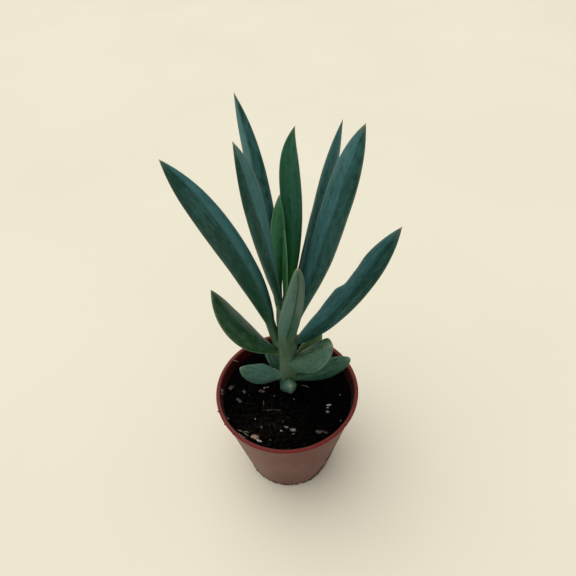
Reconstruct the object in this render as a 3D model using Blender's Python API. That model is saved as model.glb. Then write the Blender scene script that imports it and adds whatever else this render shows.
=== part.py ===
"""Potted senecio: a young upright succulent with long pointed blue-green leaves.

Seventeen fleshy leaves stand on one round stem, the stem stands in a plain hole in the soil,
and the soil fills a thin plastic nursery pot. The base of the pot rests on z = 0 with its
centre at the origin. The front of the plant looks along -Y.
"""
import math
from dataclasses import dataclass

import bpy
import numpy as np

MM = 0.001
TURN = 2.0 * math.pi
SHARP_ANGLE = math.radians(40.0)
FIT_GAP = 0.3

# Nursery pot, millimetres
POT_HEIGHT = 46.0
POT_RIM_RADIUS = 27.5
POT_FOOT_RADIUS = 18.2
POT_WALL = 0.9
POT_FLOOR = 1.2
LIP_DEPTH = 1.6
LIP_OUT = 0.45
LIP_ROUND = 0.55
LIP_INNER_ROUND = 0.28
FOOT_ROUND = 0.6
POT_SIDES = 48
DRAIN_HOLES = 5
DRAIN_HOLE_RADIUS = 2.2
DRAIN_CIRCLE_RADIUS = 12.0
DRAIN_SIDES = 12
CUT_MARGIN = 1.0

# Soil, millimetres
SOIL_TOP = 40.6
SOIL_CROWN = 0.7
SOIL_ROUGHNESS = 0.5
SOIL_RINGS = 9
SOIL_SIDES = 36
# Each wave of the crumbly surface: radians per millimetre along X and Y, phase, share of roughness
SOIL_WAVES = (
    (0.33, 0.78, 0.4, 0.5),
    (0.77, -0.16, 0.4, 0.5),
    (0.80, 1.10, 1.9, 0.6),
    (1.30, -0.90, 1.6, 0.5),
)

# Stem, millimetres: (height, radius, lean along X) from the buried foot to the growing tip
STEM_X = 0.0
STEM_Y = 3.5
STEM_PROFILE = (
    (22.0, 1.6, 0.0),
    (24.0, 2.4, 0.0),
    (41.0, 2.85, 0.0),
    (50.0, 3.0, 0.4),
    (58.0, 3.25, 0.9),
    (63.0, 3.3, 0.9),
    (72.0, 3.0, 0.5),
    (81.0, 2.65, 0.1),
    (86.5, 2.3, 0.0),
    (89.0, 1.9, 0.0),
    (90.4, 1.3, 0.0),
)
STEM_TIP = 91.0
STEM_SIDES = 16
STEM_HOLE_RADIUS = STEM_PROFILE[2][1] + FIT_GAP
STEM_HOLE_BOTTOM = STEM_PROFILE[0][0] - FIT_GAP

# Leaf mesh
LEAF_STATIONS = 18
LEAF_SIDES = 10
ROUTE_STEPS = 96
TIP_CROWDING = 1.25
SECTION_FULLNESS = 1.6


@dataclass(frozen=True)
class Leaf:
    """One leaf: lengths in millimetres, angles in degrees, the rest fractions.

    height is where the leaf leaves the middle of the stem. azimuth turns from +X towards +Y and
    sway is how far it turns on by the tip. rise is the slope of the leaf above level. roll turns
    the blade about its own length, 90 stands it on edge, and twist adds to it by the tip. neck is
    the share of the length that keeps the narrow base, and shoulder is how softly the blade widens
    from it: below 1 it widens at once. lean shifts the point towards the outer
    edge, as a share of half the width. foot_rise and foot_length shape the turn at the stem.
    """

    name: str
    height: float
    azimuth: float
    rise: float
    rise_at_tip: float
    length: float
    width: float
    thickness: float
    roll: float = 90.0
    twist: float = 0.0
    sway: float = 0.0
    neck: float = 0.05
    base_width: float = 0.45
    shoulder: float = 1.3
    widest: float = 0.55
    tip_power: float = 2.2
    tip_round: float = 1.0
    base_thickness: float = 0.6
    thickest: float = 0.4
    lean: float = 0.4
    lean_power: float = 5.0
    foot_rise: float = 42.0
    foot_length: float = 4.5


LEAVES = (
    Leaf("leaf_far_left", 65.8, 171, 84, 52, 82.5, 10.1, 5.6, roll=98, sway=-2, neck=0.19,
         base_width=0.34, widest=0.54, tip_power=3.0, base_thickness=0.5, lean=-0.2, shoulder=0.8),
    Leaf("leaf_upright_left", 86.6, 247, 75, 79, 75, 8.5, 4.6, roll=87, sway=-2, base_width=0.16,
         widest=0.68, tip_power=2.1, base_thickness=0.3, lean=0.7, foot_length=3, shoulder=1.6),
    Leaf("leaf_tallest", 80.3, 121, 86, 73, 77, 9.0, 4.6, roll=99, sway=3.5, base_width=0.3,
         widest=0.59, tip_power=2.9, base_thickness=0.3, lean=0.6, foot_length=4),
    Leaf("leaf_inner", 87.5, 172, 89, 96, 45.0, 4.4, 2.6, roll=83, sway=-1, base_width=0.4,
         widest=0.6, tip_power=2.8, base_thickness=0.42, lean=0.1, foot_rise=58, foot_length=3),
    Leaf("leaf_innermost", 87.5, 301, 86, 90, 34.5, 2.7, 1.6, base_width=0.5, base_thickness=0.6,
         foot_rise=60, foot_length=3),
    Leaf("leaf_centre_back", 86.5, 61, 68, 111, 66.5, 6.4, 4.6, roll=24, sway=4.5, neck=0.03,
         base_width=0.38, widest=0.53, tip_power=3.3, base_thickness=0.3, lean=1.2, lean_power=9,
         foot_length=4, shoulder=1.2),
    Leaf("leaf_back_right", 79.8, 33, 67.5, 82, 71, 8.1, 4.8, roll=104, sway=0.5, base_width=0.36,
         widest=0.57, tip_power=3.0, base_thickness=0.34, lean=0.6, lean_power=8, foot_length=4,
         shoulder=1.3),
    Leaf("leaf_tall_right", 72.0, 352, 74.5, 80, 85.5, 9.7, 5.6, roll=50, sway=-1.5, neck=0.09,
         base_width=0.16, widest=0.53, tip_power=4.0, base_thickness=0.38, lean=0.4, lean_power=6,
         foot_length=4, shoulder=1.6),
    Leaf("leaf_right", 64.8, 6, 38, 76, 64.5, 8.9, 5.4, roll=48, twist=-7, sway=4.5, neck=0.1,
         base_width=0.22, widest=0.48, tip_power=2.9, lean=0.7, shoulder=0.6),
    Leaf("leaf_left", 61.7, 193, 38, 86, 48, 10.1, 5.4, roll=150, sway=-1, neck=0.1, base_width=0.2,
         widest=0.46, tip_power=2.5, base_thickness=0.45, lean=0.3, lean_power=4, shoulder=1.1),
    Leaf("leaf_front", 69.3, 280, 72, 71, 57.5, 7.8, 6.4, roll=182, sway=21, neck=0.0,
         base_width=0.66, widest=0.46, tip_power=1.5, tip_round=0.56, base_thickness=0.45,
         thickest=0.55, lean=-0.7),
    Leaf("leaf_front_right", 56.4, 324, 37, 57, 28, 10.1, 6.2, roll=39, sway=1, neck=0.08,
         base_width=0.22, widest=0.61, tip_power=2.8, tip_round=0.36, base_thickness=0.45, lean=-0.4,
         lean_power=4, shoulder=0.9),
    Leaf("leaf_low_right", 47.7, 3, -1, 42, 26.5, 8.6, 6.0, roll=71, sway=2, neck=0.07,
         base_width=0.24, widest=0.56, tip_power=1.9, tip_round=0.58, base_thickness=0.5, lean=0.1),
    Leaf("leaf_low_left", 49.6, 186, 2, 38, 19.5, 9.8, 4.8, roll=105, neck=0.09, base_width=0.24,
         widest=0.51, tip_power=1.4, tip_round=0.66, base_thickness=0.45, lean=-0.2),
    Leaf("leaf_low_back_left", 46.6, 135, 18, 96, 17.5, 6.4, 4.2, roll=100, sway=-1, neck=0.1,
         base_width=0.26, widest=0.59, tip_power=1.8, tip_round=0.6, base_thickness=0.45, lean=0.1),
    Leaf("leaf_low_back_right", 53.0, 25, 10, 95, 21, 8.5, 4.6, roll=83, base_width=0.3,
         tip_power=2.0, tip_round=0.6),
    Leaf("leaf_low_front", 43.0, 282, 50, 58, 11.5, 5.9, 5.8, base_width=0.65, tip_power=2.6,
         tip_round=0.5, base_thickness=0.65, thickest=0.55, lean=0.0),
)


def clear_scene():
    """Remove every object that the file opens with."""
    for obj in list(bpy.data.objects):
        bpy.data.objects.remove(obj, do_unlink=True)


def make_material(name, colour, roughness, metallic=0.0):
    """Return a Principled material of one colour."""
    material = bpy.data.materials.new(name)
    material.use_nodes = True
    shader = material.node_tree.nodes["Principled BSDF"]
    shader.inputs["Base Color"].default_value = (*colour, 1.0)
    shader.inputs["Roughness"].default_value = roughness
    shader.inputs["Metallic"].default_value = metallic
    material.diffuse_color = (*colour, 1.0)
    return material


def make_object(name, points, faces, material=None):
    """Make a smooth-shaded mesh object from points in millimetres."""
    mesh = bpy.data.meshes.new(name)
    mesh.from_pydata([tuple(point) for point in np.asarray(points) * MM], [], faces)
    mesh.validate()
    mesh.shade_smooth()
    mesh.set_sharp_from_angle(angle=SHARP_ANGLE)
    obj = bpy.data.objects.new(name, mesh)
    bpy.context.scene.collection.objects.link(obj)
    if material is not None:
        mesh.materials.append(material)
    return obj


def make_guide(obj):
    """Mark an object as a cutter or guide that is not part of the plant."""
    obj.hide_render = True
    obj.display_type = "WIRE"
    return obj


def add_cut(obj, cutter, solver="EXACT"):
    """Cut one object by another with a Boolean modifier."""
    cut = obj.modifiers.new("cut_" + cutter.name, "BOOLEAN")
    cut.operation = "DIFFERENCE"
    cut.solver = solver
    cut.object = cutter


def skin_rings(ring_count, side_count):
    """Return the faces that join rings in order, with a fan to a first and a last centre point.

    The rings run from the first centre to the last, and each ring turns anticlockwise as seen
    from the last centre.
    """
    faces = []
    first = ring_count * side_count
    last = first + 1
    for ring in range(ring_count - 1):
        for side in range(side_count):
            a = ring * side_count + side
            b = ring * side_count + (side + 1) % side_count
            faces.append((a, b, b + side_count, a + side_count))
    end = (ring_count - 1) * side_count
    for side in range(side_count):
        after = (side + 1) % side_count
        faces.append((first, after, side))
        faces.append((last, end + side, end + after))
    return faces


def ring_angles(side_count):
    """Angles of the corners of one ring."""
    return np.linspace(0.0, TURN, side_count, endpoint=False)


def turned_points(profile, side_count, centre=(0.0, 0.0)):
    """Turn (height, radius) pairs about a vertical line and add both centre points."""
    height, radius = np.array(profile).T
    turn = ring_angles(side_count)
    rings = np.stack(
        [
            centre[0] + np.outer(radius, np.cos(turn)),
            centre[1] + np.outer(radius, np.sin(turn)),
            np.repeat(height[:, None], side_count, axis=1),
        ],
        axis=-1,
    )
    ends = [(*centre, height[0]), (*centre, height[-1])]
    return np.vstack([rings.reshape(-1, 3), ends])


def make_bar(name, low, high, radius, side_count, centre):
    """Make a round upright bar that serves as a cutter."""
    points = turned_points([(low, radius), (high, radius)], side_count, centre)
    return make_guide(make_object(name, points, skin_rings(2, side_count)))


def outer_radius(height):
    """Outside radius of the pot wall below its lip."""
    top = POT_RIM_RADIUS - LIP_OUT
    return POT_FOOT_RADIUS + (top - POT_FOOT_RADIUS) * height / POT_HEIGHT


def inner_radius(height):
    """Inside radius of the pot wall."""
    return outer_radius(height) - POT_WALL


def build_pot(material):
    """Turn the thin pot with its rounded lip and cut the drain holes in its floor."""
    lip_low = POT_HEIGHT - LIP_DEPTH
    round_low = POT_HEIGHT - LIP_ROUND
    profile = [
        (0.0, POT_FOOT_RADIUS - FOOT_ROUND),
        (FOOT_ROUND, outer_radius(FOOT_ROUND)),
        (lip_low, outer_radius(lip_low)),
        (lip_low + LIP_OUT, POT_RIM_RADIUS),
        (round_low, POT_RIM_RADIUS),
        (POT_HEIGHT, POT_RIM_RADIUS - LIP_ROUND),
        (POT_HEIGHT, inner_radius(POT_HEIGHT) + LIP_INNER_ROUND),
        (round_low, inner_radius(round_low)),
        (POT_FLOOR, inner_radius(POT_FLOOR)),
    ]
    points = turned_points(profile, POT_SIDES)
    pot = make_object("pot", points, skin_rings(len(profile), POT_SIDES), material)
    for index in range(DRAIN_HOLES):
        turn = TURN * index / DRAIN_HOLES
        centre = (DRAIN_CIRCLE_RADIUS * math.cos(turn), DRAIN_CIRCLE_RADIUS * math.sin(turn))
        name = "drain_cutter_%d" % (index + 1)
        top = POT_FLOOR + CUT_MARGIN
        cutter = make_bar(name, -CUT_MARGIN, top, DRAIN_HOLE_RADIUS, DRAIN_SIDES, centre)
        add_cut(pot, cutter, "MANIFOLD")
    return pot


def soil_surface(x, y):
    """Height of the soil: a low crown and crumbly waves that fade out at the wall."""
    reach = np.hypot(x, y) / inner_radius(SOIL_TOP)
    waves = sum(
        share * np.sin(along_x * x + along_y * y + phase)
        for along_x, along_y, phase, share in SOIL_WAVES
    )
    return SOIL_TOP + SOIL_CROWN * (1.0 - reach**2) + SOIL_ROUGHNESS * waves * (1.0 - reach**4)


def build_soil(material):
    """Fill the pot with soil and leave a plain hole for the stem."""
    low = POT_FLOOR + FIT_GAP
    low_radius = inner_radius(low) - FIT_GAP
    wall = inner_radius(SOIL_TOP) - FIT_GAP
    turn = ring_angles(SOIL_SIDES)
    rings = [np.stack([low_radius * np.cos(turn), low_radius * np.sin(turn), 0.0 * turn + low], axis=-1)]
    for radius in np.linspace(wall, wall / SOIL_RINGS, SOIL_RINGS):
        x = radius * np.cos(turn)
        y = radius * np.sin(turn)
        rings.append(np.stack([x, y, soil_surface(x, y)], axis=-1))
    ends = [(0.0, 0.0, low), (0.0, 0.0, soil_surface(0.0, 0.0))]
    soil = make_object("soil", np.vstack(rings + [ends]), skin_rings(len(rings), SOIL_SIDES), material)
    centre = (STEM_X, STEM_Y)
    cutter = make_bar(
        "stem_hole_cutter", STEM_HOLE_BOTTOM, POT_HEIGHT, STEM_HOLE_RADIUS, STEM_SIDES, centre
    )
    add_cut(soil, cutter)
    return soil


def make_stem(name, grow, material=None):
    """Make the round stem, from its buried foot to its tip, larger all round by grow."""
    profile = [(height, radius + grow) for height, radius, _ in STEM_PROFILE]
    leans = [lean for _, _, lean in STEM_PROFILE]
    points = turned_points(profile, STEM_SIDES, (STEM_X, STEM_Y))
    points[:, 0] += np.concatenate([np.repeat(leans, STEM_SIDES), [leans[0], leans[-1]]])
    points[-1, 2] = STEM_TIP + grow
    return make_object(name, points, skin_rings(len(profile), STEM_SIDES), material)


def swell(place, base, widest, power, blunt, shoulder):
    """Fraction of the full size along a leaf.

    It starts at base, rises on a sine raised to the shoulder power to 1 at the widest place, and
    falls to 0 at the tip as (1 - distance^power)^blunt.
    """
    sine = np.sin(0.25 * TURN * np.clip(place / widest, 0.0, 1.0))
    rising = base + (1.0 - base) * sine**shoulder
    past = np.clip((place - widest) / (1.0 - widest), 0.0, 1.0)
    return np.where(place < widest, rising, (1.0 - past**power) ** blunt)


def leaf_route(leaf):
    """Places, points, slopes and headings along the middle of a leaf.

    The slope starts at foot_rise on the stem, turns up to rise within foot_length, and changes
    evenly to rise_at_tip. The points are the sum of short steps along that direction.
    """
    along = np.linspace(0.0, 1.0, ROUTE_STEPS + 1)
    foot = min(leaf.rise, leaf.foot_rise)
    turning = np.exp(-((along * leaf.length / leaf.foot_length) ** 2))
    slope = leaf.rise + (leaf.rise_at_tip - leaf.rise) * along - (leaf.rise - foot) * turning
    slope = np.radians(slope)
    heading = np.radians(leaf.azimuth + leaf.sway * along)
    level = np.cos(slope)
    direction = np.stack(
        [level * np.cos(heading), level * np.sin(heading), np.sin(slope)], axis=-1
    )
    step = leaf.length / ROUTE_STEPS
    moved = np.cumsum(0.5 * (direction[1:] + direction[:-1]) * step, axis=0)
    start = np.array([STEM_X, STEM_Y, leaf.height])
    points = start + np.vstack([np.zeros((1, 3)), moved])
    return along, points, slope, heading


def blade_axes(slope, heading, roll):
    """Directions across and through the blade, turned about its length by roll."""
    side = np.stack([-np.sin(heading), np.cos(heading), np.zeros_like(heading)], axis=-1)
    up = np.stack(
        [-np.sin(slope) * np.cos(heading), -np.sin(slope) * np.sin(heading), np.cos(slope)],
        axis=-1,
    )
    roll = roll[:, None]
    across = side * np.cos(roll) + up * np.sin(roll)
    through = up * np.cos(roll) - side * np.sin(roll)
    return across, through


def section_axis(values):
    """Superellipse coordinate that gives the section its pinched edges and soft ridges."""
    return np.sign(values) * np.abs(values) ** (2.0 / SECTION_FULLNESS)


def build_leaf(leaf, material, seat):
    """Make one leaf: rhombic sections with soft ridges, carried along its route to a point."""
    along, points, slope, heading = leaf_route(leaf)
    places = 1.0 - (1.0 - np.linspace(0.0, 1.0, LEAF_STATIONS)) ** TIP_CROWDING
    centre = np.stack([np.interp(places, along, points[:, axis]) for axis in range(3)], axis=-1)
    roll = np.radians(leaf.roll + leaf.twist * places)
    across, through = blade_axes(
        np.interp(places, along, slope), np.interp(places, along, heading), roll
    )
    beyond_neck = np.clip((places - leaf.neck) / (1.0 - leaf.neck), 0.0, 1.0)
    width = leaf.width * swell(
        beyond_neck, leaf.base_width, leaf.widest, leaf.tip_power, leaf.tip_round, leaf.shoulder
    )
    thickness = leaf.thickness * swell(
        places, leaf.base_thickness, leaf.thickest, leaf.tip_power, leaf.tip_round, leaf.shoulder
    )
    shift = 0.5 * leaf.lean * leaf.width * places**leaf.lean_power
    centre = centre - across * shift[:, None]
    angle = ring_angles(LEAF_SIDES)
    flat = section_axis(np.cos(angle))
    deep = section_axis(np.sin(angle))
    rings = (
        centre[:, None, :]
        + 0.5 * width[:, None, None] * flat[None, :, None] * across[:, None, :]
        + 0.5 * thickness[:, None, None] * deep[None, :, None] * through[:, None, :]
    )
    vertices = np.vstack([rings[:-1].reshape(-1, 3), centre[:1], centre[-1:]])
    blade = make_object(leaf.name, vertices, skin_rings(LEAF_STATIONS - 1, LEAF_SIDES), material)
    add_cut(blade, seat)
    return blade


def build():
    """Build every piece of the potted plant."""
    clear_scene()
    build_pot(make_material("red_plastic", (0.24, 0.045, 0.035), 0.5))
    build_soil(make_material("dark_soil", (0.012, 0.010, 0.008), 0.95))
    make_stem("stem", 0.0, make_material("pale_green_stem", (0.12, 0.22, 0.10), 0.5))
    seat = make_guide(make_stem("leaf_seat_cutter", FIT_GAP))
    for leaf in LEAVES:
        material = make_material("blue_green_" + leaf.name, (0.05, 0.13, 0.10), 0.45)
        build_leaf(leaf, material, seat)


build()
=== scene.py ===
"""Looks of a potted senecio: long waxy leaves on a pale stem, moist dark soil and a thin red pot.

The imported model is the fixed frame. Every shown surface is worked out here as a numpy grid that
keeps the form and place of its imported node, and gets its own procedural finish. Lengths are
millimetres until a mesh is made, angles are degrees until they are used.
"""

import logging
import math
from dataclasses import dataclass, field
from enum import Enum

import bpy
import numpy as np
from mathutils import Matrix, Vector


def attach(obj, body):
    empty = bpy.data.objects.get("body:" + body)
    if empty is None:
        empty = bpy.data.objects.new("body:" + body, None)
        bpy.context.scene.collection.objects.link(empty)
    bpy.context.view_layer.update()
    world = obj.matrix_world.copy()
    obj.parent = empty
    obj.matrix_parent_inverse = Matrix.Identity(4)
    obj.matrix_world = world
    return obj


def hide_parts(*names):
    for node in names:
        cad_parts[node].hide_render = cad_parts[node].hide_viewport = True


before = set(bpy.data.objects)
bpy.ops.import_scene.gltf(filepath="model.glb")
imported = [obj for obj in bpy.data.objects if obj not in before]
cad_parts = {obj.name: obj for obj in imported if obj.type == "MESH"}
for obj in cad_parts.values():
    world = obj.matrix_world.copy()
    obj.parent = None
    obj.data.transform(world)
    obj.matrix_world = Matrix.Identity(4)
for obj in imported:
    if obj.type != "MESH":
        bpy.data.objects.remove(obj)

LOG = logging.getLogger("senecio")
MM = 0.001
TAU = 2.0 * math.pi
ROOT = "root"

Array = np.ndarray
Colour = tuple[float, float, float]
Pixel = tuple[float, float]


def smoothstep(low: float, high: float, value: Array) -> Array:
    """Rise from 0 at low to 1 at high along 3t^2 - 2t^3.

    Args:
        low: Value where the step starts.
        high: Value where the step ends.
        value: Values to map.

    Returns:
        The mapped values.
    """
    share = np.clip((value - low) / (high - low), 0.0, 1.0)
    return share * share * (3.0 - 2.0 * share)


def signed_power(value: Array, power: Array | float) -> Array:
    """Raise the size of a value to a power and keep its sign."""
    return np.sign(value) * np.abs(value) ** power


def angle_between(turn: Array, middle: float) -> Array:
    """Signed angle in radians from a direction in degrees to each turn in radians."""
    return np.angle(np.exp(1j * (turn - math.radians(middle))))


def unit(vectors: Array) -> Array:
    """Scale vectors on the last axis to length 1."""
    return vectors / np.linalg.norm(vectors, axis=-1, keepdims=True)


@dataclass(frozen=True)
class Waves:
    """Smooth seeded noise, a sum of sine waves that run in random directions.

    Each octave has waves half as long as the one before, and gain times as high.
    """

    seed: int
    length: float
    octaves: int = 3
    gain: float = 0.5
    count: int = 8

    def at(self, points: Array) -> Array:
        """Work out the noise at points.

        Args:
            points: Places in millimetres, on the last axis.

        Returns:
            Values around -1 to 1.
        """
        rng = np.random.default_rng(self.seed)
        total = np.zeros(points.shape[:-1])
        for octave in range(self.octaves):
            direction = unit(rng.normal(size=(self.count, 3)))
            phase = rng.uniform(0.0, TAU, self.count)
            turns = points @ direction.T * (TAU * 2.0**octave / self.length) + phase
            total += self.gain**octave * np.sin(turns).sum(axis=-1)
        return total * math.sqrt(2.0 / self.count) / 2.0


@dataclass
class Surface:
    """A grid of points that closes round its columns, with a pole at each end where one is given.

    values holds one number or vector for each grid point, and reaches the mesh as an attribute.
    """

    points: Array
    values: dict[str, Array] = field(default_factory=dict)
    start: Array | None = None
    end: Array | None = None
    wrap: bool = True

    def quads(self) -> Array:
        """Corner numbers of the four-sided faces between neighbouring rows and columns."""
        rows, columns = self.points.shape[:2]
        number = np.arange(rows * columns).reshape(rows, columns)
        ahead = np.roll(number, -1, axis=1)
        if not self.wrap:
            number, ahead = number[:, :-1], ahead[:, :-1]
        faces = np.stack([number[:-1], ahead[:-1], ahead[1:], number[1:]], axis=-1)
        return faces.reshape(-1, 4)

    def fans(self) -> list[list[int]]:
        """Corner numbers of the triangles that close each end on its pole."""
        rows, columns = self.points.shape[:2]
        ring = np.arange(columns)
        ahead = np.roll(ring, -1)
        pole = rows * columns
        faces: list[list[int]] = []
        if self.start is not None:
            faces += np.stack([np.full(columns, pole), ahead, ring], axis=-1).tolist()
            pole += 1
        if self.end is not None:
            last = (rows - 1) * columns
            faces += np.stack([np.full(columns, pole), last + ring, last + ahead], axis=-1).tolist()
        return faces

    def flat(self, grid: Array) -> Array:
        """Join grid values with those of the poles, which take the mean of their ring."""
        width = grid.shape[2] if grid.ndim == 3 else 1
        parts = [grid.reshape(-1, width)]
        if self.start is not None:
            parts.append(grid[0].reshape(-1, width).mean(axis=0, keepdims=True))
        if self.end is not None:
            parts.append(grid[-1].reshape(-1, width).mean(axis=0, keepdims=True))
        return np.vstack(parts)

    def corners(self) -> Array:
        """All points, the poles last."""
        places = self.flat(self.points)
        poles = [end for end in (self.start, self.end) if end is not None]
        if poles:
            places[len(places) - len(poles):] = poles
        return places

    def build(self, name: str) -> bpy.types.Object:
        """Make a smooth mesh object in metres at the origin."""
        return join_surfaces(name, [self])


def join_surfaces(name: str, surfaces: list[Surface]) -> bpy.types.Object:
    """Make one smooth mesh object in metres of several grids that carry the same values.

    Args:
        name: Name of the piece.
        surfaces: The grids.

    Returns:
        The new object.
    """
    places = [surface.corners() for surface in surfaces]
    first = np.cumsum([0] + [len(part) for part in places])
    faces: list[list[int]] = []
    for start, surface in zip(first, surfaces):
        faces += (surface.quads() + start).tolist()
        faces += [[corner + int(start) for corner in face] for face in surface.fans()]
    mesh = bpy.data.meshes.new(name)
    mesh.from_pydata((np.vstack(places) * MM).tolist(), [], faces)
    for key in surfaces[0].values:
        store_values(mesh, key, np.vstack([surface.flat(surface.values[key]) for surface in surfaces]))
    mesh.shade_smooth()
    return link_object(name, mesh)


def store_values(mesh: bpy.types.Mesh, key: str, values: Array) -> None:
    """Keep one number or vector for each point of a mesh as a named attribute."""
    vector = values.ndim == 2 and values.shape[1] == 3
    layer = mesh.attributes.new(key, "FLOAT_VECTOR" if vector else "FLOAT", "POINT")
    layer.data.foreach_set("vector" if vector else "value", values.astype(np.float32).ravel())


def link_object(name: str, data: bpy.types.ID) -> bpy.types.Object:
    """Put a new object with this data into the scene."""
    obj = bpy.data.objects.new(name, data)
    bpy.context.scene.collection.objects.link(obj)
    return obj


def dress(
    obj: bpy.types.Object,
    material: bpy.types.Material,
    stands_for: str | None = None,
) -> bpy.types.Object:
    """Give a piece its finish, let it ride on the root body and log it.

    Args:
        obj: The finished piece.
        material: Its only material.
        stands_for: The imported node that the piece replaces, if it does.

    Returns:
        The same object.
    """
    obj.data.materials.clear()
    obj.data.materials.append(material)
    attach(obj, ROOT)
    if stands_for is not None:
        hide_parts(stands_for)
    LOG.info("%s: %d faces, %s", obj.name, len(obj.data.polygons), material.name)
    return obj


class NodeSheet:
    """Adds shader nodes to one material and links them."""

    def __init__(self, name: str) -> None:
        """Start a material with one Principled shader."""
        self.material = bpy.data.materials.new(name)
        self.material.use_nodes = True
        self.nodes = self.material.node_tree.nodes
        self.links = self.material.node_tree.links
        self.shader = self.nodes["Principled BSDF"]

    def put(self, node: bpy.types.Node, key: str | int, value: object) -> None:
        """Link a socket or set a plain value on an input."""
        if isinstance(value, bpy.types.NodeSocket):
            self.links.new(value, node.inputs[key])
        elif isinstance(value, tuple) and len(value) == 3 and node.inputs[key].type == "RGBA":
            node.inputs[key].default_value = (*value, 1.0)
        else:
            node.inputs[key].default_value = value

    def set(self, **inputs: object) -> None:
        """Set or link inputs of the shader, with underscores for spaces."""
        for key, value in inputs.items():
            self.put(self.shader, key.replace("_", " "), value)

    def attribute(self, key: str, vector: bool = False) -> bpy.types.NodeSocket:
        """Read a named attribute of the piece."""
        node = self.nodes.new("ShaderNodeAttribute")
        node.attribute_name = key
        return node.outputs["Vector" if vector else "Fac"]

    def place(self) -> bpy.types.NodeSocket:
        """Read Object coordinates, in metres."""
        return self.nodes.new("ShaderNodeTexCoord").outputs["Object"]

    def scaled(self, vector: bpy.types.NodeSocket, scale: Colour) -> bpy.types.NodeSocket:
        """Scale a vector, so that a pattern is finer along some axes."""
        node = self.nodes.new("ShaderNodeMapping")
        self.put(node, "Vector", vector)
        node.inputs["Scale"].default_value = scale
        return node.outputs["Vector"]

    def noise(
        self, vector: bpy.types.NodeSocket, scale: float, detail: float = 3.0, rough: float = 0.55
    ) -> bpy.types.NodeSocket:
        """Fractal noise from 0 to 1."""
        node = self.nodes.new("ShaderNodeTexNoise")
        self.put(node, "Vector", vector)
        self.put(node, "Scale", scale)
        self.put(node, "Detail", detail)
        self.put(node, "Roughness", rough)
        return node.outputs["Fac"]

    def cells(
        self, vector: bpy.types.NodeSocket, scale: float, feature: str = "F1"
    ) -> bpy.types.NodeSocket:
        """Distance to the nearest point of a random set."""
        node = self.nodes.new("ShaderNodeTexVoronoi")
        node.feature = feature
        self.put(node, "Vector", vector)
        self.put(node, "Scale", scale)
        return node.outputs["Distance"]

    def ease(
        self, value: bpy.types.NodeSocket, low: float, high: float, start: float = 0.0, end: float = 1.0
    ) -> bpy.types.NodeSocket:
        """Map a value smoothly from low..high to start..end."""
        node = self.nodes.new("ShaderNodeMapRange")
        node.interpolation_type = "SMOOTHSTEP"
        self.put(node, "Value", value)
        self.put(node, "From Min", low)
        self.put(node, "From Max", high)
        self.put(node, "To Min", start)
        self.put(node, "To Max", end)
        return node.outputs["Result"]

    def calc(self, operation: str, first: object, second: object = 0.0) -> bpy.types.NodeSocket:
        """One step of arithmetic, held between 0 and 1."""
        node = self.nodes.new("ShaderNodeMath")
        node.operation = operation
        node.use_clamp = True
        self.put(node, 0, first)
        self.put(node, 1, second)
        return node.outputs["Value"]

    def blend(self, share: object, first: object, second: object) -> bpy.types.NodeSocket:
        """Mix two colours by a share."""
        node = self.nodes.new("ShaderNodeMix")
        node.data_type = "RGBA"
        colours = [socket for socket in node.inputs if socket.type == "RGBA"]
        self.put(node, 0, share)
        for socket, value in zip(colours, (first, second)):
            self.put(node, list(node.inputs).index(socket), value)
        return next(socket for socket in node.outputs if socket.type == "RGBA")

    def bump(
        self, height: bpy.types.NodeSocket, strength: float, depth_mm: float
    ) -> bpy.types.NodeSocket:
        """Turn a height into a bent normal."""
        node = self.nodes.new("ShaderNodeBump")
        self.put(node, "Strength", strength)
        self.put(node, "Distance", depth_mm * MM)
        self.put(node, "Height", height)
        return node.outputs["Normal"]


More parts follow.
